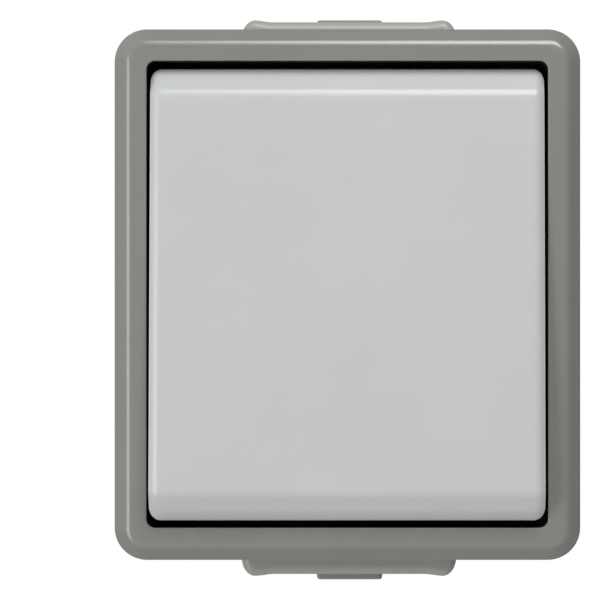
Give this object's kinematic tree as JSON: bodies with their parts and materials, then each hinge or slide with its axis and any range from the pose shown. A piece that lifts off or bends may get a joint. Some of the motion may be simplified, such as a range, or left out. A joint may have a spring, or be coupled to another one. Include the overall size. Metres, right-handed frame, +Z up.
{
  "type": "pushbutton switch",
  "caption": "Surface-mounted splash-proof wall pushbutton: a large tilting button in a bevelled frame, on a deep box with a cable spout at each end.",
  "frame": {"origin": "middle of the back plane, which lies on the wall, midway between the two wall screws", "axes": "+Z up the wall as installed, -Y out of the wall towards the person who presses, +X to their right; the model hangs on its wall screws"},
  "size_m": [0.066, 0.0497, 0.0848],
  "materials": {
    "box_grey": "light warm grey moulded plastic, fine satin",
    "frame_grey": "dark warm grey moulded plastic, fine satin",
    "button_grey": "light cool grey moulded plastic, fine satin",
    "black_rubber": "black soft rubber",
    "membrane_rubber": "warm grey soft rubber",
    "insert_plastic": "off-white heat-resistant plastic",
    "mechanism_plastic": "white moulded plastic",
    "zinc_steel": "zinc-plated steel",
    "spring_steel": "bright spring wire",
    "contact_brass": "bright pressed brass"
  },
  "bodies": {
    "housing": {"back_box": "box_grey", "cover_frame": "frame_grey", "opening_lining": "black_rubber", "splash_seal": "black_rubber", "cover_gasket": "black_rubber", "cable_membrane_top": "membrane_rubber", "cable_membrane_bottom": "membrane_rubber", "support_plate": "zinc_steel", "plate_screws": "zinc_steel", "socket_body": "insert_plastic", "socket_cap": "insert_plastic", "insert_screws": "zinc_steel", "return_spring": "spring_steel", "fixed_contact_left": "contact_brass", "fixed_contact_right": "contact_brass", "terminal_block_left": "contact_brass", "terminal_block_right": "contact_brass", "terminal_screw_left": "zinc_steel", "terminal_screw_right": "zinc_steel"},
    "rocker": {"rocker_carrier": "mechanism_plastic", "button_plate": "button_grey"},
    "slider": {"plunger": "mechanism_plastic", "contact_bridge": "contact_brass", "bridge_spring": "spring_steel"}
  },
  "joints": [
    {"name": "rocker_tilt", "type": "hinge", "parent": "housing", "child": "rocker", "pos_m": [0, -0.041, 0], "axis": [1, 0, 0], "range_deg": [0, 6.5], "stiffness_Nm_per_rad": 0.8, "springref_deg": -2.86},
    {"name": "plunger_travel", "type": "slide", "parent": "housing", "child": "slider", "axis": [0, 1, 0], "range_m": [0, 0.0018], "deforming": ["return_spring"]}
  ],
  "couplings": [
    {"joint": "plunger_travel", "follows": "rocker_tilt", "m_per_rad": 0.0155}
  ]
}
